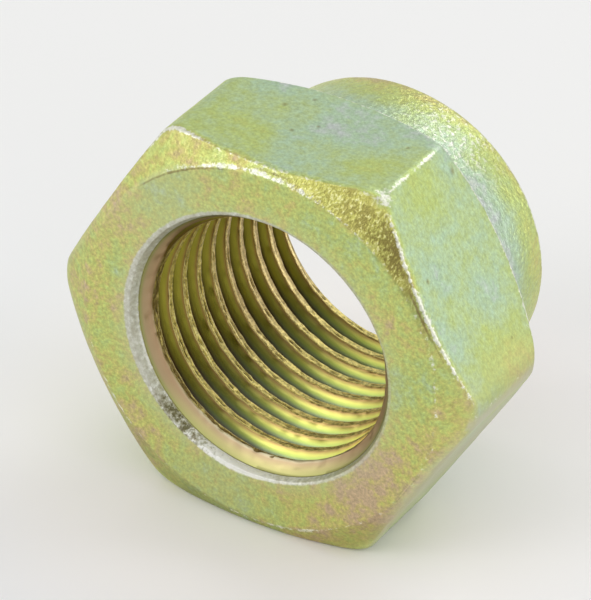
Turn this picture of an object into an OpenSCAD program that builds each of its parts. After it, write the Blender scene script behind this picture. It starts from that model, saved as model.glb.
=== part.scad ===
// Hexagon nut with a round collar, forged and turned in one piece.
// The nut lies on one of its flats: its axis runs along Y, the chamfered hexagon face looks to -Y
// and the collar to +Y. The origin is on the ground, below the middle of the nut. Millimetres.

/* [Hexagon] */
// Width across two opposite flats
across_flats = 23.3; // [21.5:0.1:27]
// Length of a flat along the nut, at the middle of the flat
flat_length = 8.8; // [7:0.1:10]
// Radii of the six long corners, clockwise from +X as seen from the front, unequal from die and wear
corner_radii = [2.1, 1.4, 1.4, 2.1, 1.6, 0.6]; // [0.2:0.1:2.5]

/* [Chamfers] */
// Diameter of the flat ring of the front face
front_face_d = 22; // [20:0.1:22.8]
// Slope of the front chamfer, from the plane of the face
front_slope = 27.5; // [20:0.5:35]
// Slope of the back shoulder, from the plane of the face
back_slope = 35; // [25:0.5:42]

/* [Collar] */
// Outer diameter of the round collar
collar_d = 18.8; // [18:0.1:20]
// Length of the whole nut, front face to collar end
nut_length = 15.5; // [14.5:0.1:18]
// Radius of the hollow between the shoulder and the collar
neck_radius = 2.5; // [1:0.1:3.5]
// Radius of the collar's outer rim
rim_radius = 0.4; // [0.2:0.05:0.6]

/* [Threaded hole] */
// Diameter of the hole at the crests of the thread, for M16 x 1.5
thread_minor_d = 14.7; // [14:0.05:15]
// Diameter of the worn bevel where the hole meets the front face
mouth_d = 16.6; // [16.2:0.1:17]
// Diameter at the inner end of that bevel
lead_in_d = 16; // [15.4:0.1:16.1]
// Depth of the bevel
mouth_depth = 0.55; // [0.3:0.05:0.8]
// Half angle of the lead-in cone behind the bevel
lead_in_angle = 45; // [30:1:60]
// Diameter where the hole leaves the end of the collar
exit_d = 15.8; // [15.2:0.1:16]
// Half angle of the cone at that end
exit_angle = 45; // [30:1:60]

/* [Hidden] */
$fn = 96;

zinc_yellow = [0.73, 0.75, 0.47];
sides = 6;
half_turn = 180 / sides;
corner_steps = 6;
apothem = across_flats / 2;

// Distance from the axis to the centre of a corner's arc, and to the tip of the sharpest corner
function corner_centre(radius) = (apothem - radius) / cos(half_turn);
corner_reach = corner_centre(min(corner_radii)) + min(corner_radii);

front_face_r = front_face_d / 2;
collar_r = collar_d / 2;
minor_r = thread_minor_d / 2;

// Stock left outside the corners, and the overrun of a cut past a face
stock = 1;
blank_r = corner_reach + stock;
front_rise = (blank_r - front_face_r) * tan(front_slope);

// Height of the back shoulder at radius r
function shoulder(r) = flat_length + (apothem - r) * tan(back_slope);

// The hollow touches the collar's wall and the shoulder
neck_centre_r = collar_r + neck_radius;
neck_centre_y = shoulder(neck_centre_r) + neck_radius / cos(back_slope);
neck_touch_r = neck_centre_r - neck_radius * sin(back_slope);

lead_in_end = mouth_depth + (lead_in_d / 2 - minor_r) / tan(lead_in_angle);
exit_start = nut_length - (exit_d / 2 - minor_r) / tan(exit_angle);

// Hexagon with round corners: each corner is an arc about its own centre, from flat to flat
module rounded_hexagon() {
    polygon([for (i = [0 : sides - 1]) for (step = [0 : corner_steps])
        let (radius = corner_radii[i],
            corner = i * 2 * half_turn,
            turn = corner + half_turn * (2 * step / corner_steps - 1))
        corner_centre(radius) * [cos(corner), sin(corner)] + radius * [cos(turn), sin(turn)]]);
}

// Half section of the turned outside: front chamfer, shoulder, hollow neck, collar, rounded rim
module turned_section() {
    difference() {
        polygon([
            [0, 0],
            [front_face_r, 0],
            [blank_r, front_rise],
            [blank_r, shoulder(blank_r)],
            [neck_touch_r, shoulder(neck_touch_r)],
            [collar_r, neck_centre_y],
            [collar_r, nut_length - rim_radius],
            [collar_r - rim_radius, nut_length],
            [0, nut_length]
        ]);
        translate([neck_centre_r, neck_centre_y])
            circle(neck_radius);
    }
    translate([collar_r - rim_radius, nut_length - rim_radius])
        circle(rim_radius);
}

// Half section of the hole: mouth bevel, lead-in, wall at the thread's crests, exit cone
module hole_section() {
    polygon([
        [0, -stock],
        [mouth_d / 2, -stock],
        [mouth_d / 2, 0],
        [lead_in_d / 2, mouth_depth],
        [minor_r, lead_in_end],
        [minor_r, exit_start],
        [exit_d / 2, nut_length],
        [exit_d / 2, nut_length + stock],
        [0, nut_length + stock]
    ]);
}

module nut() {
    color(zinc_yellow)
        translate([0, -nut_length / 2, apothem])
            rotate([-90, 0, 0])
                difference() {
                    intersection() {
                        linear_extrude(nut_length)
                            rounded_hexagon();
                        rotate_extrude()
                            turned_section();
                    }
                    rotate_extrude()
                        hole_section();
                }
}

nut();
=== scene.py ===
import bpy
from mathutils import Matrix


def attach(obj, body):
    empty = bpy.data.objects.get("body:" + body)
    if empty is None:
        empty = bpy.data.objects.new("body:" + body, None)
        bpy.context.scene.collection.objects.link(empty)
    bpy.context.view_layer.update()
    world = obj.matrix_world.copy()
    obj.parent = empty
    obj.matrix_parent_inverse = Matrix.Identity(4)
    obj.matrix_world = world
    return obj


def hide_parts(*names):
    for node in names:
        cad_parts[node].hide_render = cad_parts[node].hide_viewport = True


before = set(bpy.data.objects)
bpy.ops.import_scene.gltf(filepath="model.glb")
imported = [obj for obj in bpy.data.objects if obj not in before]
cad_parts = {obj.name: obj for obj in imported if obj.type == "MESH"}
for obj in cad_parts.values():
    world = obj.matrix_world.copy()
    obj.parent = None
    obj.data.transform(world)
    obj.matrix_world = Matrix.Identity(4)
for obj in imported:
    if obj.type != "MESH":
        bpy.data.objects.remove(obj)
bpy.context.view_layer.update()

import bpy
import numpy as np
from mathutils import Matrix, Vector

mm = 0.001


class Value:
    # one output socket: + - * / with numbers or other values add Math nodes
    def __init__(self, tree, socket):
        self.tree = tree
        self.socket = socket

    def math(self, operation, other):
        return self.tree.put("ShaderNodeMath", {"operation": operation}, {0: self, 1: other})

    def __add__(self, other):
        return self.math("ADD", other)

    __radd__ = __add__

    def __sub__(self, other):
        return self.math("SUBTRACT", other)

    def __rsub__(self, other):
        return self.tree.number(other).math("SUBTRACT", self)

    def __mul__(self, other):
        return self.math("MULTIPLY", other)

    __rmul__ = __mul__

    def __truediv__(self, other):
        return self.math("DIVIDE", other)

    def __rtruediv__(self, other):
        return self.tree.number(other).math("DIVIDE", self)

    def larger(self, other):
        return self.math("MAXIMUM", other)

    def step(self, low, high):  # smooth step: 0 at low and 1 at high, whichever is the larger
        return self.tree.put("ShaderNodeMapRange", {"interpolation_type": "SMOOTHSTEP"},
                             {"Value": self, "From Min": low, "From Max": high})


class Tree:
    # the node tree of a material or of the world
    def __init__(self, owner):
        owner.use_nodes = True
        self.nodes = owner.node_tree.nodes
        self.links = owner.node_tree.links
        self.nodes.clear()

    def put(self, kind, settings=None, values=None, out=0):
        # any node: its settings first, a ramp's stops among them, then its sockets' values or links
        node = self.nodes.new(kind)
        for name, setting in (settings or {}).items():
            if name == "stops":
                elements = node.color_ramp.elements
                while len(elements) < len(setting):
                    elements.new(1.0)
                for element, (place, colour) in zip(elements, setting):
                    element.position = place
                    element.color = (*colour, 1.0)
            else:
                setattr(node, name, setting)
        for name, value in (values or {}).items():
            if isinstance(value, Value):
                self.links.new(value.socket, node.inputs[name])
            else:
                node.inputs[name].default_value = value
        return Value(self, node.outputs[out]) if node.outputs else node

    def number(self, value):
        constant = self.put("ShaderNodeValue")
        constant.socket.default_value = value
        return constant

    def blend(self, share, first, second, way="MIX"):  # colours: first where share is 0, second where it is 1
        sockets = {0: share, 6: self.colour(first), 7: self.colour(second)}
        return self.put("ShaderNodeMix", {"data_type": "RGBA", "blend_type": way}, sockets, 2)

    def colour(self, value):
        return value if isinstance(value, Value) else (*value, 1.0)

    def noise(self, place, scale, detail, rough, twist=0.0):  # from -0.5 to 0.5
        return self.put("ShaderNodeTexNoise", {}, {
            "Vector": place, "Scale": scale, "Detail": detail, "Roughness": rough, "Distortion": twist}) - 0.5

    def ramp(self, stops, value):
        return self.put("ShaderNodeValToRGB", {"stops": stops}, {"Fac": value})

    def vector(self, operation, first, second, out=0):  # second is a scale for SCALE, else a vector
        values = {"Vector": first, "Scale": second} if operation == "SCALE" else {0: first, 1: second}
        return self.put("ShaderNodeVectorMath", {"operation": operation}, values, out)

    def part(self, vector, axis):
        return self.put("ShaderNodeSeparateXYZ", {}, {"Vector": vector}, axis)

    def bump(self, strength, distance, height):
        values = {"Strength": strength, "Distance": distance, "Height": height}
        return self.put("ShaderNodeBump", {}, values, "Normal")

    def surface(self, values):
        shader = self.put("ShaderNodeBsdfPrincipled", {}, values)
        self.put("ShaderNodeOutputMaterial", {}, {"Surface": shader})

    def grey(self, value):  # the same number in red, green and blue
        return self.put("ShaderNodeCombineXYZ", {}, {0: value, 1: value, 2: value})

    def attribute(self, name):
        return self.put("ShaderNodeAttribute", {"attribute_name": name}, {}, "Fac")

    def nearness(self, place, spot, reach):  # 1 at the spot, falling to 0 at reach, both in mm
        return self.vector("DISTANCE", place, spot, "Value").step(reach, 0.0)


sixth, twelfth = np.radians(60), np.radians(30)  # the angle between two corners of the hexagon, and half of it

nutSizes = {  # millimetres and degrees, as in the CAD source; y runs from the front face to the collar's end
    "apothem": 11.65,
    "length": 15.5,
    "flatLength": 8.8,
    "faceRadius": 11.0,
    "frontSlope": 27.5,
    "backSlope": 35.0,
    "collarRadius": 9.4,
    "neckRadius": 2.5,
    "rimRadius": 0.4,
    "mouthRadius": 8.3,
    "mouthDepth": 0.55,
    "leadInRadius": 8.0,
    "leadInEnd": 1.2,
    "exitRadius": 7.9,
    "crestRadius": 7.35,
    "cornerRadii": (2.1, 0.6, 1.6, 2.1, 1.4, 1.4),  # at 0, 60 ... 300 degrees from +X
}

forgeSizes = {  # how the forging departs from those; bumps are (height, middle angle, half width in degrees)
    "leadInBumps": ((-0.15, 195, 45), (0.06, 272, 30)),  # the lead-in cone is slightly out of centre
    "mouthBumps": ((-0.16, 285, 42),),  # the bevel is narrower at the bottom
    "mouthCut": 0.12,  # how far from an edge its rounding starts
    "faceCut": 0.15,
    "frontCut": 0.12,
    "frontCornerCut": 0.26,  # so much more over a corner, and more still along the edge at the lower right
    "frontCutBumps": ((0.62, 330, 24),),
    "backCut": 0.16,
    "backCornerCut": 0.25,
    "cornerHalf": 5.0,
    "endCut": 0.10,
    "exitStep": 0.3,  # the last ring lies so far inside the hole
    "lumps": ((0.030, 3, 7.0), (0.012, 4, 1.6)),  # depth, seed and wavelength
    "stillRows": (2, 3),  # rows without lumps next to the hole's wall, at the front and at the back
    "middleY": 6.0,  # a place on the axis that every outward normal points away from
    "joinGap": 0.01,  # wall points nearer than this to an end of the hole are joined to its ring
    "tipRadius": 13.2,  # the battered front tip of the corner at tipAngle
    "tipAngle": 60.0,
    "tipY": 1.5,
    "tipDepth": 0.25,
    "tipReach": 0.6,
}

gridSizes = {  # rows of points from the bevel to the collar's end, and columns round each sixth
    "bevel": 3, "mouthBend": 4, "face": 11, "faceBend": 4, "cone": 4, "frontBend": 6, "side": 20, "backBend": 6,
    "shoulder": 3, "neck": 13, "collar": 7, "rim": 6, "end": 3, "endBend": 3,
    "flatColumns": 26, "cornerColumns": 14,
    "cornerHalf": 4.6,  # degrees on each side of a corner that have close columns
}

threadSizes = {  # millimetres and degrees
    "pitch": 1.5,
    "depth": 0.70,
    "flankAngle": 30.0,
    "crestWidth": 0.42,
    "rounding": 0.05,
    "phaseY": 3.003,  # rear edge of a crest at phaseAngle
    "phaseAngle": 230.0,
    "overrun": 0.3,  # past both ends of the hole
    "rows": (0.0, 0.08, 0.24, 0.38, 0.50, 0.62, 0.72, 0.86, 1.00, 1.07, 1.13, 1.22, 1.29, 1.36, 1.44),
    "crestFront": 9,  # the row at the crest's front edge, and the first and last row of the seam
    "seamRows": (11, 13),
    "seamAt": 1.29,  # middle of the seam that the forming tap leaves along the crest
    "seamWidth": 0.05,
    "seamDepth": 0.05,
    "seamOpen": 0.6,  # how far the seam is open: mean, slow change, fine change, and how much less at the top
    "seamSlow": 0.3,
    "seamFine": 0.45,
    "seamUpper": 0.75,
    "upperEdge": 0.2,  # sine of the angle at which it starts to close
    "seamMost": 1.4,
    "landWidth": 0.13,  # the crest's rough band, and how deep its pits are
    "landDepth": 0.020,
    "ragged": 0.024,  # how far the crest's edges stray along y
    "coneRagged": 0.02,
    "coneFade": 0.05,
    "fadeFrom": 80.0,  # angles over which the first groove runs out, ahead of the first whole crest
    "fadeTo": 168.0,
    "runOutSeam": 0.9,  # how dark its ragged skin is
    "seed": 7,
    "fineLength": 1.1,  # lengths of the noise along the helix, in columns
    "slowLength": 8.0,
    "edgeLength": 1.6,
}


def bump(theta, middle, half):
    # 1 at the middle angle, falling smoothly to 0 over about half, both in degrees
    away = (np.degrees(theta) - middle + 180) % 360 - 180
    return gauss(away, half)


def bumps(theta, table):
    # the sum of the bumps in a table of (height, middle angle, half width)
    return sum(height * bump(theta, middle, half) for height, middle, half in table)


def gauss(away, width):
    # 1 where away is 0, 1/e at the width
    return np.exp(-(away / width) ** 2)


def ramp(value, low, high):
    # 0 at low, 1 at high, straight between
    return np.clip((value - low) / (high - low), 0, 1)


def sectorAngles():
    # column angles: six equal sectors, each with close columns over its corner and wider ones over the flats
    g = gridSizes
    near, far = g["cornerHalf"], 30.0
    local = np.concatenate([
        np.linspace(-far, -near, g["flatColumns"], endpoint=False),
        np.linspace(-near, near, g["cornerColumns"], endpoint=False),
        np.linspace(near, far, g["flatColumns"], endpoint=False)])
    angles = np.concatenate([local + 2 * far * sector for sector in range(6)])
    return np.radians(np.sort(angles % 360.0))


def hexagonRadius(theta):
    # distance from the axis to the hexagon's side: apothem / cos(angle from the flat's middle), and over a
    # corner the far side of a circle whose centre lies (apothem - radius) / cos 30 out
    apothem = nutSizes["apothem"]
    sector = np.round(theta / sixth).astype(int)
    local = theta - sector * sixth
    radius = np.asarray(nutSizes["cornerRadii"])[sector % 6]
    flat = apothem / np.cos(twelfth - np.abs(local))
    centre = (apothem - radius) / np.cos(twelfth)
    inside = np.maximum(radius ** 2 - (centre * np.sin(local)) ** 2, 0)
    corner = centre * np.cos(local) + np.sqrt(inside)
    touch = np.arctan((apothem - radius) * np.tan(twelfth) / apothem)
    return np.where(twelfth - np.abs(local) > touch, corner, flat)


def hexagonEdges(theta):
    # the hexagon's side as its distance from the axis, and the y of its front and back edges
    s = nutSizes
    side = hexagonRadius(theta)
    frontY = (side - s["faceRadius"]) * np.tan(np.radians(s["frontSlope"]))
    backY = s["flatLength"] + (s["apothem"] - side) * np.tan(np.radians(s["backSlope"]))
    return side, frontY, backY


def line(start, end, count):
    # rows on the straight line between two rings, without the two ends
    share = (np.arange(1, count + 1) / (count + 1))[:, None, None]
    return start[None] * (1 - share) + end[None] * share


def bend(before, corner, after, cut, count):
    # a corner rounded by a quadratic curve that leaves the two lines at the distance cut from the corner
    towards = lambda end: (end - corner) / np.linalg.norm(end - corner, axis=1, keepdims=True)
    first, last = corner + towards(before) * cut, corner + towards(after) * cut
    t = np.linspace(0, 1, count + 1)[:, None, None]
    return (1 - t) ** 2 * first[None] + 2 * t * (1 - t) * corner[None] + t ** 2 * last[None]


def leadIn(theta):
    # radius of the lead-in cone at the bevel's inner end
    return nutSizes["leadInRadius"] + bumps(theta, forgeSizes["leadInBumps"])


def mouthRim(theta):
    # radius of the hole's edge on the front face
    return nutSizes["mouthRadius"] + bumps(theta, forgeSizes["mouthBumps"])


def outsideRows(theta):
    # the outside as rings of (radius, y): bevel, front face, front cone, hexagon side, shoulder, neck, collar
    s, f, g = nutSizes, forgeSizes, gridSizes
    side, frontY, backY = hexagonEdges(theta)
    ring = lambda r, y: np.stack([r + 0 * theta, y + 0 * theta], axis=1)
    arc = lambda r, y, radius, turns: np.stack([ring(r + radius * np.cos(a), y + radius * np.sin(a)) for a in turns])
    lead = ring(leadIn(theta), s["mouthDepth"])
    mouth = ring(mouthRim(theta), 0)
    faceEdge = ring(s["faceRadius"], 0)
    frontEdge, backEdge = ring(side, frontY), ring(side, backY)
    slope = np.radians(s["backSlope"])
    neckR = s["collarRadius"] + s["neckRadius"]
    neckY = s["flatLength"] + (s["apothem"] - neckR) * np.tan(slope) + s["neckRadius"] / np.cos(slope)
    neck = arc(neckR, neckY, s["neckRadius"], np.linspace(1.5 * np.pi - slope, np.pi, g["neck"]))
    rim = arc(s["collarRadius"] - s["rimRadius"], s["length"] - s["rimRadius"], s["rimRadius"],
              np.linspace(0, np.pi / 2, g["rim"]))
    end = ring(s["exitRadius"], s["length"])
    inner = ring(s["exitRadius"] - f["exitStep"], s["length"] - f["exitStep"])

    local = (theta + twelfth) % sixth - twelfth
    overCorner = gauss(local, np.radians(f["cornerHalf"]))[:, None]
    frontCut = f["frontCut"] + f["frontCornerCut"] * overCorner + bumps(theta, f["frontCutBumps"])[:, None]
    backCut = f["backCut"] + f["backCornerCut"] * overCorner
    mouthBend = bend(lead, mouth, faceEdge, f["mouthCut"], g["mouthBend"])
    faceBend = bend(mouth, faceEdge, frontEdge, f["faceCut"], g["faceBend"])
    frontBend = bend(faceEdge, frontEdge, backEdge, frontCut, g["frontBend"])
    backBend = bend(frontEdge, backEdge, neck[0], backCut, g["backBend"])
    endBend = bend(rim[-1], end, inner, f["endCut"], g["endBend"])
    return np.concatenate([
        lead[None], line(lead, mouthBend[0], g["bevel"]), mouthBend,
        line(mouthBend[-1], faceBend[0], g["face"]), faceBend,
        line(faceBend[-1], frontBend[0], g["cone"]), frontBend,
        line(frontBend[-1], backBend[0], g["side"]), backBend,
        line(backBend[-1], neck[0], g["shoulder"]), neck,
        line(neck[-1], rim[0], g["collar"]), rim,
        line(rim[-1], endBend[0], g["end"]), endBend])


def turned(rings, theta):
    # rings of (radius, y) carried round the axis: x = r cos, y, z = r sin
    r, y = rings[..., 0], rings[..., 1]
    return np.stack([r * np.cos(theta), y, r * np.sin(theta)], axis=-1)


def gridNormals(points):
    # normal of each grid point: the cross product of the differences along the columns and along the rows
    along = np.gradient(points, axis=0)
    around = np.roll(points, -1, axis=1) - np.roll(points, 1, axis=1)
    normal = np.cross(along, around)
    return normal / np.maximum(np.linalg.norm(normal, axis=-1, keepdims=True), 1e-9)


def waves(points, seed, length, count=14):
    # smooth lumps: the mean of sine waves of about one wavelength in random directions, from -1 to 1
    random = np.random.default_rng(seed)
    ways = random.normal(size=(count, 3))
    ways /= np.linalg.norm(ways, axis=1, keepdims=True)
    ways *= 2 * np.pi / (length * random.uniform(0.7, 1.4, (count, 1)))
    shift = random.uniform(0, 2 * np.pi, count)
    return np.clip(np.sin(points @ ways.T + shift).sum(-1) / np.sqrt(count) / 1.2, -1, 1)


def along(length, seed, sigma, rows):
    # smoothed random rows along the helix: noise whose Fourier spectrum is cut by a Gaussian, one unit high
    random = np.random.default_rng(seed)
    raw = np.fft.rfft(random.normal(size=(rows, length)), axis=1)
    cut = np.exp(-(2 * np.pi * np.fft.rfftfreq(length) * sigma) ** 2 / 2)
    soft = np.fft.irfft(raw * cut, n=length, axis=1)
    return soft / soft.std()


def threadDepth(s):
    # depth below the crest at s mm behind a crest's rear edge: rear flank, root, front flank, crest,
    # as the mean of five samples, so that its corners are rounded
    t = threadSizes
    flank = t["depth"] * np.tan(np.radians(t["flankAngle"]))
    root = t["pitch"] - t["crestWidth"] - 2 * flank
    x = [-t["crestWidth"], 0, flank, flank + root, 2 * flank + root, t["pitch"]]
    z = [0, 0, t["depth"], t["depth"], 0, 0]
    wrap = t["overrun"]
    spread = np.linspace(-t["rounding"], t["rounding"], 5)
    return np.mean([np.interp((s + step + wrap) % t["pitch"] - wrap, x, z) for step in spread], axis=0)


def threadRows(theta, startY, endY):
    # the hole's wall on rows that follow the helix: y = base + pitch * (row / rows in a pitch - turn), with a
    # crest ragged by noise along the helix, cut open by the lead-in cone and the exit cone
    s, t = nutSizes, threadSizes
    perPitch, columns = len(t["rows"]), len(theta)
    base = t["phaseY"] - t["pitch"] * (1 - t["phaseAngle"] / 360)
    before = int(np.ceil((base + t["overrun"] - startY) / t["pitch"]))
    base -= t["pitch"] * before
    turns = int(np.ceil((endY + t["overrun"] - base) / t["pitch"])) + 1
    row = np.arange(turns * perPitch)
    phase = np.asarray(t["rows"])[row % perPitch]
    y = base + t["pitch"] * (row // perPitch) + phase
    y = y[:, None] - t["pitch"] * (theta / (2 * np.pi))[None]
    depth = threadDepth(phase)[:, None] + 0 * y

    helix = np.arange(columns)[None] + (turns - 1 - row // perPitch)[:, None] * columns
    kind = (row % perPitch)[:, None] + 0 * helix
    fine = along(turns * columns, t["seed"], t["fineLength"], perPitch)[kind, helix]
    slow = along(turns * columns, t["seed"] + 1, t["slowLength"], 1)[0][helix]
    edge = along(turns * columns, t["seed"] + 2, t["edgeLength"], 3)

    # the groove ahead of the first whole crest runs out, and the one before that is left off
    runOut = ramp(np.degrees(theta), t["fadeTo"], t["fadeFrom"])[None] + 0 * y
    group = (row // perPitch)[:, None]
    cut = np.where(group >= before, 1.0, np.where(group == before - 1, runOut, 0.0))
    depth *= cut
    smooth = depth / t["depth"]

    first, last = t["seamRows"]
    moved = np.where(kind == t["crestFront"], edge[0][helix], np.where(kind == 0, edge[1][helix], 0))
    y += t["ragged"] * (moved + np.where((kind >= first) & (kind <= last), edge[2][helix], 0))
    lip = gauss(phase - t["seamAt"], t["seamWidth"])[:, None]
    land = np.maximum(np.exp(-((phase - t["seamAt"]) / t["landWidth"]) ** 4)[:, None] + 0 * y, 1 - cut)
    opened = np.clip(t["seamOpen"] + t["seamSlow"] * slow + t["seamFine"] * fine, 0, t["seamMost"])
    opened *= 1 - t["seamUpper"] * np.clip(np.sin(theta) + t["upperEdge"], 0, 1)
    depth += t["seamDepth"] * lip * opened + t["landDepth"] * land * np.clip(fine, 0, 2)

    slope = (leadIn(theta) - s["crestRadius"]) / (s["leadInEnd"] - startY)
    cone = (s["leadInEnd"] - y) * slope[None] + t["coneRagged"] * edge[1][helix] * (y > startY + t["overrun"])
    cone = np.maximum(cone, s["exitRadius"] - s["crestRadius"] - (s["length"] - y))
    radius = s["crestRadius"] + np.maximum(depth, cone)
    inCone = np.clip((cone - depth) / t["coneFade"] + 0.5, 0, 1)
    fromFront = np.where(phase < t["pitch"] / 3, t["pitch"], phase) - t["rows"][t["crestFront"]]
    rim = np.clip(fromFront / t["crestWidth"], 0, 1)[:, None] + 0 * y
    seam = np.maximum(lip * opened, (1 - cut) * np.clip(t["runOutSeam"] + t["seamSlow"] * fine, 0, t["seamMost"]))
    return radius, y, smooth, inCone, seam, rim


def tipAway(x, y, z):
    # distance to the battered front tip of one corner
    f = forgeSizes
    tipX, tipZ = (f["tipRadius"] * turn(np.radians(f["tipAngle"])) for turn in (np.cos, np.sin))
    return np.sqrt((x - tipX) ** 2 + (y - f["tipY"]) ** 2 + (z - tipZ) ** 2)


def nutMesh():
    # the outside's grid and the hole's helical rows as one closed surface, with a value per point for each look
    s, f = nutSizes, forgeSizes
    theta = sectorAngles()
    columns = len(theta)
    rings = outsideRows(theta)
    outside = turned(rings, theta)
    normals = gridNormals(outside)
    normals *= np.sign((normals * (outside - [0, f["middleY"], 0])).sum(-1, keepdims=True))
    startY, endY = s["mouthDepth"], rings[-1, 0, 1]
    inner = np.ones(len(rings))[:, None]
    inner[:f["stillRows"][0]] = 0
    inner[-f["stillRows"][1]:] = 0
    lumps = sum(height * (0.5 + 0.5 * waves(outside, seed, length)) for height, seed, length in f["lumps"])
    sink = inner * lumps + f["tipDepth"] * gauss(tipAway(*np.moveaxis(outside, -1, 0)), f["tipReach"])
    outside = outside - normals * sink[..., None]

    # wall rows beyond either end of the hole shrink onto the outside's first and last rings
    radius, y, depth, inCone, seam, rim = threadRows(theta, startY, endY)
    wall = np.stack([radius * np.cos(theta), y, radius * np.sin(theta)], axis=-1)
    outRows, wallRows = len(outside), len(wall)
    outCount, wallCount = outRows * columns, wallRows * columns
    number = outCount + np.arange(wallCount).reshape(wallRows, columns)
    column = np.arange(columns)[None] + 0 * number
    number = np.where(y <= startY + f["joinGap"], column, number)
    number = np.where(y >= endY - f["joinGap"], (outRows - 1) * columns + column, number)

    grid = np.arange(outCount).reshape(outRows, columns)
    nextColumn = np.roll(grid, -1, axis=1)
    outFaces = np.stack([grid[:-1], grid[1:], nextColumn[1:], nextColumn[:-1]], axis=-1).reshape(-1, 4)
    perPitch = len(threadSizes["rows"])
    beside = np.roll(number, -1, axis=1)
    beside[:perPitch, -1] = 0
    beside[perPitch:, -1] = number[:-perPitch, 0]  # after a whole turn the helix is one pitch on
    quads = np.stack([number[:-1], beside[:-1], beside[1:], number[1:]], axis=-1).reshape(-1, 4)
    triangles = np.concatenate([quads[:, [0, 1, 2]], quads[:, [0, 2, 3]]])
    triangles = triangles[(triangles != np.roll(triangles, 1, axis=1)).all(axis=1)]

    points = np.concatenate([outside.reshape(-1, 3), wall.reshape(-1, 3)])
    fields = {"wear": wornEdges, "mouth": mouthEdge, "chips": mouthChipsAndHighlight, "contrast": mouthContrast,
              "sheen": mouthSheen, "stain": darkLinesAndShade, "frost": softEdges, "dusk": paintedShadeField}
    values = {name: np.concatenate([(field(rings, theta) + 0 * rings[..., 0]).ravel(), np.zeros(wallCount)])
              for name, field in fields.items()}
    values["film"], values["grit"] = filmFields(points), gritField(points)
    for name, level, onWall in (("depth", 0, depth), ("cone", 1, inCone), ("seam", 0, seam), ("rim", 0, rim)):
        values[name] = np.concatenate([np.full(outCount, float(level)), onWall.ravel()])

    used = np.unique(np.concatenate([outFaces.ravel(), triangles.ravel()]))
    renumber = np.zeros(len(points), int)
    renumber[used] = np.arange(len(used))
    place = points[used] * mm
    place[:, 1] -= s["length"] / 2 * mm
    place[:, 2] += s["apothem"] * mm
    faces = [renumber[outFaces], renumber[triangles]]
    return place, faces, {name: value[used] for name, value in values.items()}


wearLook = {  # rubbed edges: width in mm, least share, and bumps of (height, middle angle, half width)
    "frontWidth": 0.23,
    "frontLeast": 0.28,
    "frontBumps": ((0.46, 25, 22), (0.28, 50, 8), (0.20, 92, 16), (0.75, 120, 8)),
    "backWidth": 0.16,
    "backLeast": 0.55,
    "backBumps": ((0.25, 20, 30),),
    "cornerWidth": 0.19,
    "cornerLeast": 0.30,
    "cornerBumps": ((0.45, 60, 15), (0.15, 0, 15)),
    "cornerFront": ((0.40, 120, 15),),  # only as far back as cornerFrontEnd
    "cornerFrontEnd": 2.4,
    "cornerRadius": 13.3,  # mm in a radian at a corner
    "cornerPulse": 0.25,  # how much the corners' wear swells and fades along y, and how fast
    "cornerPulseRate": 2.1,
    "faceWidth": 0.19,
    "faceOffset": 0.20,
    "faceLeast": 0.20,
    "faceBumps": ((0.36, 92, 18), (0.30, 116, 16), (0.40, 285, 26), (0.30, 62, 20), (0.24, 222, 26), (0.27, 4, 26)),
    "endWidth": 0.13,
    "endOffset": 0.25,
    "endLeast": 0.25,
    "endBumps": ((0.45, 15, 45),),
    "tip": 0.62,
    "tipReach": 0.85,
    "sideEnd": 9.0,  # y behind which the hexagon's sides have ended
    "nearEdge": 0.3,  # how far from the face or from a side still counts as on it
}


def wornEdges(rings, theta):
    # rubbed share of each point: a Gaussian of its distance to each edge, times how worn that edge is there
    s, w = nutSizes, wearLook
    r, y = rings[..., 0], rings[..., 1]
    side, frontY, backY = hexagonEdges(theta)
    share = lambda kind: w[kind + "Least"] + bumps(theta, w[kind + "Bumps"])
    front = gauss(np.hypot(r - side, y - frontY), w["frontWidth"]) * share("front")
    back = gauss(np.hypot(r - side, y - backY), w["backWidth"]) * share("back")
    local = (theta + twelfth) % sixth - twelfth
    onSide = (np.abs(r - side) < w["nearEdge"]) & (y > w["nearEdge"]) & (y < w["sideEnd"])
    cornerWear = share("corner") + bumps(theta, w["cornerFront"]) * (y < w["cornerFrontEnd"])
    cornerWear = cornerWear * (1 - w["cornerPulse"] * (1 - np.cos(y * w["cornerPulseRate"])))
    corner = gauss(local * w["cornerRadius"], w["cornerWidth"]) * onSide * cornerWear
    faceEdge = gauss(r - s["faceRadius"] - w["faceOffset"], w["faceWidth"]) * (y < w["nearEdge"]) * share("face")
    end = gauss(np.hypot(r - s["collarRadius"], y - s["length"] + w["endOffset"]), w["endWidth"]) * share("end")
    tip = w["tip"] * gauss(tipAway(r * np.cos(theta), y, r * np.sin(theta)), w["tipReach"])
    return np.clip(np.maximum.reduce([front, back, corner, faceEdge, end, tip]), 0, 1.2)


mouthLook = {  # the hole's battered edge: grey at the left, dark chips below it, white ones at the bottom, partly worn bare and partly a painted highlight
    "width": 0.30,
    "widthLeast": 0.50,
    "widthBumps": ((0.50, 180, 42), (0.60, 260, 14)),
    "chips": 0.56,
    "chipsBumps": ((-0.22, 232, 11), (0.30, 262, 15), (0.10, 290, 22), (-0.08, 20, 80)),
    "lineBumps": ((0.40, 200, 22),),  # a bright line along its inner end
    "lineOffset": 0.06,
    "lineWidth": 0.05,
    "contrast": 0.32,
    "contrastBumps": ((0.90, 234, 15), (0.20, 254, 18)),
    "sheen": 0.92,
    "sheenBumps": ((-0.50, 10, 70),),
}


def mouthEdge(rings, theta):
    # share of the battered edge: all of the bevel, fading out over the face beside it
    m, r, y = mouthLook, rings[..., 0], rings[..., 1]
    reach = m["width"] * (m["widthLeast"] + bumps(theta, m["widthBumps"]))
    onFront = (y < nutSizes["mouthDepth"] - 0.03) * (r < nutSizes["faceRadius"] - 1)
    return gauss(np.maximum(r - mouthRim(theta), 0), reach) * onFront


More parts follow.
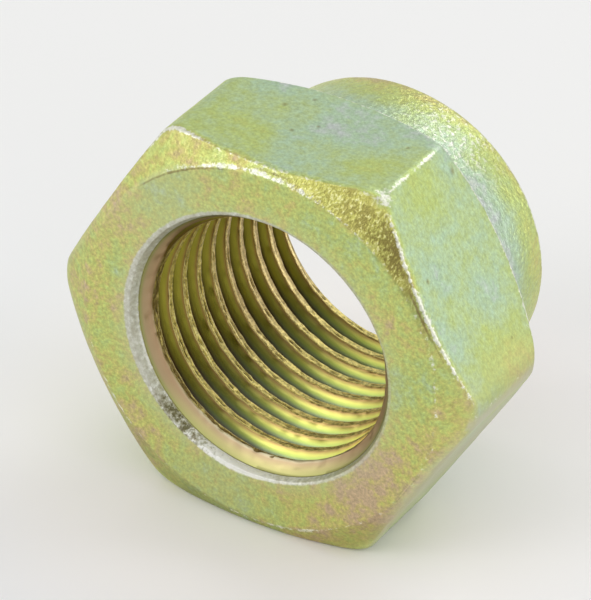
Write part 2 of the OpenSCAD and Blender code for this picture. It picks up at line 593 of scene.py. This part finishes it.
def mouthChipsAndHighlight(rings, theta):
    # how bright that edge is: worn chips, and at the bottom partly a painted highlight
    m = mouthLook
    fromEnd = rings[..., 1] - nutSizes["mouthDepth"] + m["lineOffset"]
    return m["chips"] + bumps(theta, m["chipsBumps"]) + gauss(fromEnd, m["lineWidth"]) * bumps(theta, m["lineBumps"])


def mouthContrast(rings, theta):
    # how much its brightness varies from chip to chip
    return mouthLook["contrast"] + bumps(theta, mouthLook["contrastBumps"])


def mouthSheen(rings, theta):
    # how much of it has lost its film and shows the chips, partly a painted highlight below: nearly all at the left
    # and below, about half at the right
    return mouthLook["sheen"] + bumps(theta, mouthLook["sheenBumps"])


frostLook = {  # broad grey rounding and haze: widths in mm, and bumps as above
    "cornerMiddle": -2.6,  # degrees
    "cornerScale": 0.23,  # mm in a degree there
    "cornerWidth": 0.48,
    "cornerAhead": 0.20,  # how far ahead of the front edge it starts
    "frontAhead": 0.35,
    "frontWidth": 0.62,
    "frontBumps": ((1.00, 331, 24),),
    "flatBumps": ((0.95, 332, 26),),
    "haloWidth": 0.90,
    "haloLeast": 0.22,
    "haloBumps": ((0.25, 225, 70),),
    "hazeBumps": ((0.34, 130, 24), (0.30, 258, 20)),
    "paleWidth": 0.42,
    "paleBumps": ((0.65, 195, 48),),
}


def softEdges(rings, theta):
    # grey share: the corner at 0 degrees, the front edge and the flat below it, a halo round the hole, and
    # the front edge at the left
    f, r, y = frostLook, rings[..., 0], rings[..., 1]
    side, frontY, backY = hexagonEdges(theta)
    away = (np.degrees(theta) + 180) % 360 - 180 - f["cornerMiddle"]
    fromFront = np.hypot(r - side, y - frontY)
    ahead = y < wearLook["sideEnd"]
    corner = gauss(away * f["cornerScale"], f["cornerWidth"]) * (y > frontY - f["cornerAhead"]) * ahead
    front = gauss(fromFront, f["frontWidth"]) * bumps(theta, f["frontBumps"]) * (y > frontY - f["frontAhead"])
    flat = bumps(theta, f["flatBumps"]) * (y > frontY) * ahead
    halo = gauss(np.maximum(r - mouthRim(theta), 0), f["haloWidth"]) * (f["haloLeast"] + bumps(theta, f["haloBumps"]))
    halo = np.maximum(halo, bumps(theta, f["hazeBumps"])) * (y < 0.1) * (r > nutSizes["leadInRadius"])
    pale = gauss(fromFront, f["paleWidth"]) * bumps(theta, f["paleBumps"])
    return np.clip(np.maximum(corner, front) + flat + halo + pale, 0, 1)


lineLook = {  # dark lines and painted shade: place and width in mm, and bumps as above
    "faceOffset": 0.02,  # beside the face's edge
    "faceWidth": 0.117,
    "faceBumps": ((0.74, 118, 24), (0.45, 178, 14)),
    "blurOffset": 0.10,
    "blurWidth": 0.24,
    "blurBumps": ((0.46, 0, 24),),
    "edgeOffset": 0.26,  # beside the front edge
    "edgeWidth": 0.099,
    "edgeBumps": ((0.80, 30, 22), (0.60, 86, 14)),
    # a broad band of painted shade beside the front edge
    "shadeOffset": 0.35,
    "shadeWidth": 0.40,
    "shadeBumps": ((0.60, 50, 14),),
    "coneBumps": ((0.34, 236, 22), (0.30, 276, 22)),  # painted shade over the whole front cone
    "throat": 1.2,  # at the bevel's inner end
    "throatOffset": 0.02,
    "throatWidth": 0.072,
    "faceDepth": 0.4,  # the lines beside the face's edge end here
    "margin": 0.05,  # and those on the cone so far from its edges
}


def darkLinesAndShade(rings, theta):
    # share of the dark lines beside the face's edge, beside the front edge and at the bevel's inner end, and of
    # painted shade beside the front edge and on the front cone
    s, d = nutSizes, lineLook
    r, y = rings[..., 0], rings[..., 1]
    side, frontY, backY = hexagonEdges(theta)
    mark = lambda away, kind: gauss(away - d[kind + "Offset"], d[kind + "Width"]) * bumps(theta, d[kind + "Bumps"])
    fromFace = r - s["faceRadius"]
    face = np.maximum(mark(fromFace, "face"), mark(fromFace, "blur")) * (y < d["faceDepth"])
    # a dark line beside the front edge, and painted shade there and on the cone
    cone = np.maximum(mark(side - r, "edge"), mark(side - r, "shade") + bumps(theta, d["coneBumps"]))
    cone = cone * (y < frontY - d["margin"]) * (r > s["faceRadius"] + d["margin"])
    throat = gauss(y - s["mouthDepth"] - d["throatOffset"], d["throatWidth"]) * (r < s["mouthRadius"])
    return np.clip(face + cone + d["throat"] * throat, 0, 1.2)


paintedShadeLook = {  # painted shade: bumps as above, and over what distances in mm it starts and ends
    "coneBumps": ((1.00, 252, 42), (0.90, 44, 17), (0.60, 308, 14)),
    "coneStart": (11.05, 11.20),  # from the axis
    "coneEnd": (1.0, 0.8),
    "flatBumps": ((0.42, 334, 24),),
    "flatEnd": (9.6, 9.0),
    "margin": 0.02,
}


def paintedShadeField(rings, theta):
    # painted shade share: on the front cone below at the left and at the right of the rough skin, and on the
    # flat at the lower right
    d, r, y = paintedShadeLook, rings[..., 0], rings[..., 1]
    frontY = hexagonEdges(theta)[1] + d["margin"]
    onCone = ramp(r, *d["coneStart"]) * ramp(y, *d["coneEnd"]) * (y < frontY)
    cone = onCone * np.clip(bumps(theta, d["coneBumps"]), 0, 1)
    flat = bumps(theta, d["flatBumps"]) * (y > frontY) * ramp(y, *d["flatEnd"])
    return np.maximum(cone, flat)


filmLook = {  # thickness of the film, 0 to 1; cone, neck, collar and rim also say between which mm they start
    "face": 0.38,
    "cone": (0.31, 10.7, 11.3),  # distance from the axis
    "flats": (0.68, 0.69, 0.55, 0.50, 0.60, 0.66),  # the flats at 30, 90 ... 330 degrees
    "flatsStart": (0.05, 0.35),  # behind the front cone
    "neck": (0.93, 9.1, 10.0),
    "collar": (0.66, 11.9, 13.4),
    "rim": (0.34, 13.3, 15.1),
    "lumps": ((0.07, 11, 8.0), (0.05, 12, 3.0)),  # height, seed and wavelength
    "fields": (  # x, y, z in mm from the axis, reach in mm, change
        (-4.5, 3.0, 11.65, 2.4, -0.12), (-2.0, 2.0, 11.65, 1.2, -0.12), (0.5, 5.5, 11.65, 1.8, 0.16),
        (3.0, 7.2, 11.65, 2.6, 0.16), (4.5, 3.6, 11.65, 1.4, -0.20), (-5.0, 7.0, 11.65, 2.0, 0.04),
        (-3.5, 8.2, 11.65, 1.6, 0.20), (0.5, 8.0, 11.65, 1.6, 0.18), (9.5, 4.0, 7.0, 1.9, 0.06),
        (12.0, 3.4, 2.4, 2.2, -0.20), (12.6, 6.5, 0.6, 2.2, -0.42), (11.2, 6.0, 4.8, 1.8, 0.10),
        (7.4, 4.0, 10.6, 1.5, -0.16), (8.6, 2.2, 8.6, 1.6, -0.08), (10.8, 5.0, 4.6, 1.8, 0.04),
        (-9.4, 0, -3.5, 1.8, -0.10), (-9.6, 0, 0, 1.6, -0.10), (-11.9, 0.4, 0.6, 1.6, -0.03),
        (-4.0, 0.5, 11.2, 1.6, 0.05), (12.0, 0.3, 0.6, 2.0, -0.12), (-7.5, 0, -6.0, 2.0, -0.08),
        (7.3, 0, -5.5, 2.0, -0.36), (5.8, 0, -7.4, 1.6, -0.24), (4.2, 0, -8.9, 1.6, -0.14),
        (9.6, 0, -3.0, 2.0, -0.12), (-5.5, 0, 8.0, 2.2, 0.13), (9.6, 0, 2.0, 2.2, 0.09),
        (7.2, 0, 6.6, 3.0, 0.09), (-1.5, 13.5, 9.2, 3.0, -0.14), (-3.2, 0, -9.0, 3.0, 0.04),
        (1.0, 0, 9.6, 2.0, -0.06)),
}


def filmFields(points):
    # thickness of the yellow film: a level for each region, soft fields at chosen places, and lumps
    x, y, z = points.T
    f = filmLook
    r, turn = np.hypot(x, z), np.degrees(np.arctan2(z, x)) % 360
    coneY = np.maximum(r - nutSizes["faceRadius"], 0) * np.tan(np.radians(nutSizes["frontSlope"]))
    flats = np.asarray(f["flats"])[(turn // 60).astype(int) % 6]
    value = f["face"] + 0 * x
    steps = [(f["cone"][0], ramp(r, *f["cone"][1:])), (flats, ramp(y - coneY, *f["flatsStart"]))]
    steps += [(f[name][0], ramp(y, *f[name][1:])) for name in ("neck", "collar", "rim")]
    for level, share in steps:
        value = value + (level - value) * share
    for cx, cy, cz, reach, change in f["fields"]:
        near = ((x - cx) ** 2 + (y - cy) ** 2 + (z - cz) ** 2) / reach ** 2
        value = value + change * np.exp(-near)
    value = value + sum(height * waves(points, seed, length) for height, seed, length in f["lumps"])
    return np.clip(value, 0, 1)


gritLook = {  # rough skin on the front cone: bumps as above, and over what distances in mm it starts and ends
    "bumps": ((1.25, 58, 22), (0.35, 100, 22)),
    "start": (11.0, 11.25),
    "end": (0.15, 0.03),
}


def gritField(points):
    # share of rough, unrubbed forging skin: the front cone near the corner at 60 degrees most of all
    x, y, z = points.T
    theta, r = np.arctan2(z, x), np.hypot(x, z)
    coneY = (r - nutSizes["faceRadius"]) * np.tan(np.radians(nutSizes["frontSlope"]))
    onCone = ramp(r, *gritLook["start"]) * ramp(y - coneY, *gritLook["end"])
    return onCone * np.clip(bumps(theta, gritLook["bumps"]), 0, 1)


def placed(name, data):
    # an object of that name that carries the data, put into the scene
    thing = bpy.data.objects.new(name, data)
    bpy.context.scene.collection.objects.link(thing)
    return thing


def pieceFrom(name, place, faces, values, looks):
    # a mesh object at the origin: its points, its four-sided and three-sided faces, and a number per point
    mesh = bpy.data.meshes.new(name)
    loops = np.concatenate([group.ravel() for group in faces])
    sizes = np.concatenate([np.full(len(group), group.shape[1]) for group in faces])
    mesh.vertices.add(len(place))
    mesh.vertices.foreach_set("co", place.astype(np.float32).ravel())
    mesh.loops.add(len(loops))
    mesh.loops.foreach_set("vertex_index", loops.astype(np.int32))
    mesh.polygons.add(len(sizes))
    mesh.polygons.foreach_set("loop_start", (np.cumsum(sizes) - sizes).astype(np.int32))
    mesh.polygons.foreach_set("material_index", np.repeat([0, 1], [len(group) for group in faces]).astype(np.int32))
    mesh.update(calc_edges=True)
    mesh.validate()
    for key, value in values.items():
        mesh.attributes.new(key, "FLOAT", "POINT").data.foreach_set("value", value.astype(np.float32))
    mesh.polygons.foreach_set("use_smooth", np.ones(len(sizes), bool))
    for look in looks:
        mesh.materials.append(look)
    print(name, len(place), "points,", int((sizes - 2).sum()), "triangles")
    return placed(name, mesh)


forgedLook = {  # steps are (where the share is 0, where it is 1); noises are (scale, detail, roughness, twist)
    "film": [  # colour of the passivated zinc by the thickness of its film
        (0.00, (0.60, 0.46, 0.29)), (0.12, (0.60, 0.51, 0.23)), (0.24, (0.60, 0.57, 0.19)),
        (0.36, (0.56, 0.61, 0.19)), (0.52, (0.50, 0.60, 0.21)), (0.68, (0.48, 0.60, 0.31)),
        (0.84, (0.45, 0.60, 0.41)), (1.00, (0.52, 0.57, 0.53))],
    "noises": {
        "broad": (0.30, 3.0, 0.55, 0.4), "mottle": (0.95, 3.0, 0.6), "patch": (1.9, 2.0, 0.55),
        "fleck": (3.2, 2.0, 0.6), "grain": (5.0, 3.0, 0.7)},
    "cloudsMix": {"broad": 0.50, "mottle": 0.60, "patch": 0.20, "fleck": 0.10},  # a Mix is a sum of noises
    "clouds": (0.75, 0.70),  # how much they change the film, and how much more on the front face
    "grain": (0.80, 0.45),  # the same for the grain's light and dark
    "patch": 0.25,
    "frontStep": (1.4, 0.2),  # mm behind the front face
    # pale rubbed zinc; also the colour of the white flecks painted as the collar's highlight
    "worn": (0.82, 0.82, 0.72),
    "wornMix": {"fleck": 1.00, "grain": 0.60, "mottle": 0.45},
    "wornStep": (0.36, 0.66),
    "wornShare": 0.9,
    "wornGrain": 1.2,
    "chips": [  # the hole's battered edge, from its dark chips to its bright ones, which are partly a painted highlight
        (0.22, (0.16, 0.14, 0.08)), (0.42, (0.44, 0.42, 0.33)), (0.58, (0.62, 0.62, 0.54)),
        (0.74, (0.95, 0.95, 0.92))],
    "chipsMix": {"fleck": 1.3, "grain": 0.8},
    "mouthMix": {"fleck": 0.5},
    "mouthStep": (0.30, 0.70),
    "dullStep": (0.40, 0.75),  # its bright chips are less metallic
    "dull": 0.62,
    "frost": (0.605, 0.58, 0.42),
    "frostShare": 0.8,
    # the dark lines' colour, also used for painted shade
    "line": (0.22, 0.16, 0.06),
    "lineMix": {"fleck": 0.6, "mottle": 0.5},
    "lineStep": (0.35, 0.75),
    "lineShare": 0.75,
    # painted shade colour, multiplied in where shade is painted
    "paintedShadeColour": (0.66, 0.63, 0.58),
    "shadeAndFrostMottle": 0.8,
    "paintedShadeShares": (0.7, 0.6, 0.8),  # over the film, over the rough skin, over the frost
    "ochre": (0.71, 0.69, 0.18),
    "ochreMix": {"mottle": 0.4},
    "ochreStep": (0.25, 0.75),
    "ochreShare": 0.8,
    "dark": (0.20, 0.15, 0.04),
    "darkMix": {"mottle": 0.9},
    "darkStep": (0.10, -0.16),
    "darkShares": (0.45, 0.45),  # everywhere, and more where shade is painted
    # bright grains on the rough skin, partly painted glints
    "gold": (1.00, 0.98, 0.52),
    "goldMix": {"grain": 0.3, "mottle": 0.5},
    "goldStep": (0.02, 0.20),
    "goldShare": 0.8,
    "streaks": (7.0, 2.0, 0.6),  # the rough skin's noise, drawn out streakLength times along the cone's fall
    "streakLength": 2.4,
    "streakAngle": 72,
    "metallic": 0.80,
    "roughness": 0.45,
    "roughMottle": 0.12,
    "smoothWear": 0.05,
    "smoothCollar": 0.08,
    "bump": (0.8, 0.00003),  # strength, and distance in m
    "grainHeight": 1.2,
    "fleckHeights": (0.9, 3.0, 4.0),  # everywhere, more on the hole's edge, more on the collar
    "gritHeight": 5.0,
    "paintedHighlightSpot": (4.4, 13.0, 8.5),  # the middle of the collar's painted highlight, in mm from the axis
    "paintedHighlightReach": 5.0,
    "paintedHighlightStep": (0.0, 0.20),
    "paintedHighlightShare": 0.9,
    "collarStep": (9.5, 11.5),  # mm behind the front face
    "coat": 0.35,
    "coatRoughness": 0.30,
    "pits": (  # small dark pits: x, y, z in mm from the axis, and reach
        (-2.5, 6.4, 11.6, 0.26), (-0.8, 4.3, 11.6, 0.22), (0.2, 5.4, 11.6, 0.18), (-1.4, 7.7, 11.6, 0.20),
        (5.3, 6.2, 11.6, 0.18), (7.45, 7.4, 10.3, 0.32), (9.4, 1.7, 7.0, 0.22), (12.3, 6.3, 2.0, 0.15)),
    "pitShare": 0.6,
}


def forgedZinc():
    # passivated forging: colour = ramp(film + clouds) * grain, darker where shade is painted, ochre, dark and gold
    # grains on the rough skin (the gold ones partly painted glints), grey where frosted, dark lines and painted
    # shade, pale where rubbed, chips round the hole (partly a painted highlight at the bottom), small dark pits, and
    # white flecks painted as the collar's highlight; the grain, the chips and the rough skin are also bump
    look = forgedLook
    material = bpy.data.materials.new("forgedZinc")
    n = Tree(material)
    place = n.put("ShaderNodeTexCoord", {}, {}, "Object")
    place = n.vector("SUBTRACT", place, (0, -nutSizes["length"] / 2 * mm, nutSizes["apothem"] * mm))
    place = n.vector("SCALE", place, 1 / mm)
    noises = {name: n.noise(place, *values) for name, values in look["noises"].items()}
    mix = lambda name: sum(noises[noise] * share for noise, share in look[name + "Mix"].items())
    mottle, fleck, grain = (noises[name] for name in ("mottle", "fleck", "grain"))
    back = n.part(place, "Y")
    front, collar = back.step(*look["frontStep"]), back.step(*look["collarStep"])
    (allClouds, frontClouds), (allGrain, frontGrain) = look["clouds"], look["grain"]
    colour = n.ramp(look["film"], n.attribute("film") + mix("clouds") * (allClouds + front * frontClouds))
    shade = 1.0 + grain * (allGrain + front * frontGrain) + noises["patch"] * look["patch"]
    colour = n.blend(1.0, colour, n.grey(shade), "MULTIPLY")

    uneven = 1.0 + mottle * look["shadeAndFrostMottle"]
    # painted shade, made uneven by the mottle, over the film, the rough skin and the frost
    dusk = n.attribute("dusk") * uneven
    filmPaintedShade, gritPaintedShade, frostPaintedShade = (dusk * share for share in look["paintedShadeShares"])
    colour = n.blend(filmPaintedShade, colour, look["paintedShadeColour"], "MULTIPLY")
    grit = n.attribute("grit")
    streaks = n.put("ShaderNodeMapping", {"vector_type": "TEXTURE"}, {
        "Vector": place, "Rotation": (0, -np.radians(look["streakAngle"]), 0),
        "Scale": (look["streakLength"], 1.0, 1.0)})
    lumps = n.noise(streaks, *look["streaks"])
    ochre = (grit + mix("ochre")).step(*look["ochreStep"])
    allDark, paintedShadeDark = look["darkShares"]
    darkGrains = grit * (allDark + dusk * paintedShadeDark) * (lumps + mix("dark")).step(*look["darkStep"])
    # bright grains, partly painted glints
    goldGrains = grit * (lumps + mix("gold")).step(*look["goldStep"])
    colour = n.blend(ochre * look["ochreShare"], colour, look["ochre"])
    colour = n.blend(darkGrains, colour, look["dark"])
    colour = n.blend(goldGrains * look["goldShare"], colour, look["gold"])
    colour = n.blend(gritPaintedShade * grit, colour, look["paintedShadeColour"], "MULTIPLY")

    frosted = n.blend(frostPaintedShade, look["frost"], look["paintedShadeColour"], "MULTIPLY")
    colour = n.blend(n.attribute("frost") * uneven * look["frostShare"], colour, frosted)
    # dark lines and painted shade, in the line colour
    stain = (n.attribute("stain") + mix("line")).step(*look["lineStep"])
    colour = n.blend(stain * look["lineShare"], colour, look["line"])
    rubbed = (n.attribute("wear") + mix("worn")).step(*look["wornStep"])
    worn = n.blend(1.0, look["worn"], n.grey(1.0 + grain * look["wornGrain"]), "MULTIPLY")
    colour = n.blend(rubbed * look["wornShare"], colour, worn)
    mouth = (n.attribute("mouth") + mix("mouth")).step(*look["mouthStep"])
    contrast = n.attribute("contrast")
    # the chips' colour: worn chips, and at the bottom partly a painted highlight
    chips = n.ramp(look["chips"], n.attribute("chips") + contrast * mix("chips"))
    colour = n.blend(mouth * n.attribute("sheen"), colour, chips)
    pit = n.number(0.0)
    for x, y, z, reach in look["pits"]:
        pit = pit.larger(n.nearness(place, (x, y, z), reach))
    colour = n.blend(pit * look["pitShare"], colour, look["dark"])
    # white flecks painted where the collar's highlight falls
    paintedHighlight = n.nearness(place, look["paintedHighlightSpot"], look["paintedHighlightReach"]) * (fleck + grain).step(*look["paintedHighlightStep"])
    colour = n.blend(collar * paintedHighlight * look["paintedHighlightShare"], colour, look["worn"])

    allFlecks, mouthFlecks, collarFlecks = look["fleckHeights"]
    height = fleck * (allFlecks + mouth * contrast * mouthFlecks + collar * collarFlecks)
    height = grain * look["grainHeight"] + height + grit * lumps * look["gritHeight"] - pit
    metallic = look["metallic"] - mouth * n.attribute("chips").step(*look["dullStep"]) * look["dull"]
    gloss = mottle * look["roughMottle"] - rubbed * look["smoothWear"] - collar * look["smoothCollar"]
    n.surface({
        "Base Color": colour, "Metallic": metallic, "Normal": n.bump(*look["bump"], height),
        "Roughness": look["roughness"] + gloss,
        "Coat Weight": collar * look["coat"], "Coat Roughness": look["coatRoughness"]})
    return material


threadLook = {  # steps and noises as above
    "flank": [  # from the crest (0) to the root (1), darkening towards the root as painted shade
        (0.00, (0.34, 0.19, 0.07)), (0.12, (0.56, 0.39, 0.15)), (0.34, (0.80, 0.79, 0.21)),
        (0.56, (0.65, 0.79, 0.22)), (0.76, (0.38, 0.48, 0.27)), (0.92, (0.23, 0.21, 0.17)),
        (1.00, (0.15, 0.11, 0.10))],
    "upperFlank": [  # the same on the left and at the top, where the film is browner, also darkening to painted shade at the root
        (0.00, (0.34, 0.19, 0.07)), (0.12, (0.92, 0.66, 0.20)), (0.30, (1.00, 1.00, 0.15)),
        (0.58, (1.00, 1.00, 0.15)), (0.72, (0.56, 0.54, 0.11)), (0.86, (0.22, 0.14, 0.05)),
        (1.00, (0.11, 0.07, 0.03))],
    "paintedLeftShade": (0.32, 0.29, 0.24),  # painted shade: the left of the hole is darker
    "crest": (1.00, 0.88, 0.36),
    "lowCrest": (0.72, 0.62, 0.22),  # the crests at the bottom of the hole
    "farCrest": (0.92, 0.70, 0.38),  # and those towards the collar's end, higher up
    "seam": (0.15, 0.09, 0.03),
    "cone": [  # across the lead-in cone, from its outer edge (0) to its inner edge (1)
        (0.00, (0.34, 0.36, 0.13)), (0.25, (0.46, 0.35, 0.20)), (0.80, (0.50, 0.34, 0.20)),
        (1.00, (0.52, 0.42, 0.24))],
    "lowCone": [
        (0.00, (0.58, 0.58, 0.22)), (0.40, (0.68, 0.60, 0.28)), (0.75, (0.66, 0.50, 0.30)),
        (1.00, (0.80, 0.76, 0.52))],
    "noises": {"mottle": (0.9, 3.0, 0.6), "fleck": (5.0, 2.0, 0.6)},
    "filmMottle": 0.09,
    "lowStep": (7.5, 4.5),  # mm above the ground
    "leftStep": (0.8, -6.2),  # mm from the middle
    "crestStep": (0.09, 0.02),
    "crestFleck": 0.08,
    "crestGrain": 2.0,
    "crestLeft": 0.25,
    "seamStep": (0.50, 0.95),
    "seamFleck": 1.4,
    "seamShare": 0.85,
    "farStep": (5.0, 9.5),  # mm behind the front face
    "farShare": 0.6,
    "behindStep": (0.30, 0.55),  # across a crest, whose rear part gets a painted shadow there
    "behindFleck": 0.5,
    "behindShare": 0.45,
    "coneStep": (0.2, 0.6),
    "coneEnd": (1.06, 0.98),
    "coneFleck": 0.12,
    "metallic": 0.92,
    "roughness": 0.37,
    "roughLow": 0.05,
    "roughCrest": 0.06,
    "roughMottle": 0.08,
    "bump": (0.8, 0.00002),
    "heights": (0.1, 3.0),  # of the flecks: everywhere, and more on the crests
}


def cutThread():
    # formed thread: colour = ramp(depth below the crest) darkening to painted shade at the root, painted shade on the
    # left, a bright crest with a dark ragged seam along it and painted shadow behind the far crests, and a smooth
    # cone where the thread starts
    look = threadLook
    material = bpy.data.materials.new("cutThread")
    n = Tree(material)
    place = n.vector("SCALE", n.put("ShaderNodeTexCoord", {}, {}, "Object"), 1 / mm)
    low = n.part(place, "Z").step(*look["lowStep"])
    left = n.part(place, "X").step(*look["leftStep"])
    y = n.part(place, "Y") + nutSizes["length"] / 2
    far = y.step(*look["farStep"]) * (1.0 - low)
    mottle, fleck = (n.noise(place, *look["noises"][name]) for name in ("mottle", "fleck"))
    depth = n.attribute("depth")
    film = depth + mottle * look["filmMottle"]
    # the ramps darken to painted shade towards the root
    colour = n.blend(low, n.ramp(look["upperFlank"], film), n.ramp(look["flank"], film))
    colour = n.blend(left, colour, look["paintedLeftShade"], "MULTIPLY")

    crest = (depth + fleck * look["crestFleck"]).step(*look["crestStep"])
    rubbed = n.blend(low, look["crest"], look["lowCrest"])
    rubbed = n.blend(left * look["crestLeft"], rubbed, look["paintedLeftShade"], "MULTIPLY")
    rubbed = n.blend(far * look["farShare"], rubbed, look["farCrest"])
    rubbed = n.blend(1.0, rubbed, n.grey(1.0 + fleck * look["crestGrain"]), "MULTIPLY")
    colour = n.blend(crest, colour, rubbed)
    seam = (n.attribute("seam") + fleck * look["seamFleck"]).step(*look["seamStep"])
    colour = n.blend(crest * seam * look["seamShare"], colour, look["seam"])
    # painted shadow on the rear part of the far crests, in the seam's colour
    behind = (n.attribute("rim") + fleck * look["behindFleck"]).step(*look["behindStep"])
    colour = n.blend(crest * far * behind * look["behindShare"], colour, look["seam"])

    across = (y - nutSizes["mouthDepth"]) / (nutSizes["leadInEnd"] - nutSizes["mouthDepth"])
    cone = (across + fleck * look["coneFleck"]).step(*look["coneEnd"]) * n.attribute("cone").step(*look["coneStep"])
    colour = n.blend(cone, colour, n.blend(low, n.ramp(look["cone"], across), n.ramp(look["lowCone"], across)))
    allHeight, crestHeight = look["heights"]
    height = fleck * (crest * (1.0 - cone) * crestHeight + allHeight)
    gloss = low * look["roughLow"] + crest * look["roughCrest"] + mottle * look["roughMottle"]
    n.surface({
        "Base Color": colour, "Metallic": look["metallic"], "Normal": n.bump(*look["bump"], height),
        "Roughness": look["roughness"] + gloss})
    return material


nut = pieceFrom("collared_nut", *nutMesh(), [forgedZinc(), cutThread()])
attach(nut, "root")
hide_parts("nut")
print("nut built")


floorLook = {  # steps in metres
    "half": 2.0,
    "colour": (0.865, 0.865, 0.865),
    # painted light: the floor in front is a little lighter and bluer
    "front": (0.875, 0.875, 0.90),
    "frontStep": (-0.02, 0.03),
    # painted warm bounce light round the nut, which lightens its shadow
    "near": (0.935, 0.91, 0.915),
    "nearStep": (0.014, 0.026),
    "roughness": 0.9,
    "specular": 0.1,
    "drop": 0.00002,  # below the nut, so that the two don't touch
}


def paleFloor():
    # a matt floor: its colour goes from front to back along y as a painted light gradient, and is palest round the
    # nut as painted bounce light
    look = floorLook
    material = bpy.data.materials.new("paleFloor")
    n = Tree(material)
    place = n.put("ShaderNodeTexCoord", {}, {}, "Object")
    colour = n.blend(n.part(place, "Y").step(*look["frontStep"]), look["front"], look["colour"])
    away = n.put("ShaderNodeVectorMath", {"operation": "LENGTH"}, {0: place}, "Value")
    colour = n.blend(away.step(*look["nearStep"]), look["near"], colour)
    n.surface({"Base Color": colour, "Roughness": look["roughness"], "Specular IOR Level": look["specular"]})
    half, drop = look["half"], -look["drop"]
    corners = [(-half, -half, drop), (half, -half, drop), (half, half, drop), (-half, half, drop)]
    mesh = bpy.data.meshes.new("pale_floor")
    mesh.from_pydata(corners, [], [(0, 1, 2, 3)])
    mesh.materials.append(material)
    floor = placed("pale_floor", mesh)


lightLook = {
    "world": 0.935,
    "colour": (1.0, 1.0, 0.99, 1.0),
    "seen": 0.86,  # the room's brightness where the camera sees it
    "darkWay": (0.16, -0.95, 0.10),  # the unlit side of the room, in front of the nut
    "darkStep": (0.80, 0.97),  # cosine of the angle from that way
    "darkShare": 0.75,
    "dimWay": (-0.30, 0.60, 0.74),  # above and behind the nut, a little darker than the rest
    "dimStep": (0.2, 0.9),
    "dimShare": 0.20,
    "target": (0, 0, 0.0117),  # the middle of the nut
    "lamps": [  # name, direction from the nut, distance in m, size in m, power in W
        ("softKey", (-0.50, -0.76, 0.42), 0.60, 0.30, 0.62),
        ("softSide", (0.85, 0.30, 0.30), 0.60, 0.30, 0.40),
        ("softRear", (0.12, 0.73, 0.67), 0.60, 0.30, 0.47)],
}


def studioLight():
    # a pale room, darker in front of the nut and behind it, and three round soft lamps turned to the nut
    look = lightLook
    world = bpy.data.worlds.new("softRoom")
    bpy.context.scene.world = world
    n = Tree(world)
    way = n.put("ShaderNodeTexCoord", {}, {}, "Generated")
    strength = look["world"]
    for name in ("dark", "dim"):
        cosine = n.vector("DOT_PRODUCT", way, Vector(look[name + "Way"]).normalized(), "Value")
        strength = (1.0 - cosine.step(*look[name + "Step"]) * look[name + "Share"]) * strength
    camera = n.put("ShaderNodeLightPath", {}, {}, "Is Camera Ray")
    strength = camera * look["seen"] + (1.0 - camera) * strength
    background = n.put("ShaderNodeBackground", {}, {"Color": look["colour"], "Strength": strength})
    n.put("ShaderNodeOutputWorld", {}, {"Surface": background})
    for name, direction, distance, size, power in look["lamps"]:
        lamp = bpy.data.lights.new(name, "AREA")
        lamp.shape = "DISK"
        lamp.size = size
        lamp.energy = power
        source = placed(name, lamp)
        way = Vector(direction).normalized()
        source.location = way * distance + Vector(look["target"])
        source.rotation_euler = way.to_track_quat("Z", "Y").to_euler()


cameraLook = {  # fitted to the photograph: place in metres, the image's right and down directions, lens in mm
    "place": (0.113793, -0.203456, 0.161752),
    "right": (0.857133, 0.513939, 0.034494),
    "down": (0.304610, -0.451741, -0.838536),
    "lens": 300.0,
    "sensor": 36.0,
    "clip": (0.01, 10.0),
}


def photoCamera():
    # its axes: right as given, ahead = right x down, up = right x ahead
    look = cameraLook
    right = Vector(look["right"]).normalized()
    ahead = right.cross(Vector(look["down"])).normalized()
    up = right.cross(ahead).normalized()
    data = bpy.data.cameras.new("photoCamera")
    data.lens = look["lens"]
    data.sensor_width = look["sensor"]
    data.clip_start, data.clip_end = look["clip"]
    camera = placed("photoCamera", data)
    camera.matrix_world = Matrix.Translation(look["place"]) @ Matrix((right, up, -ahead)).transposed().to_4x4()
    bpy.context.scene.camera = camera


paleFloor()
studioLight()
photoCamera()
bpy.context.scene.view_settings.view_transform = "Standard"
print("stage, light and camera set")
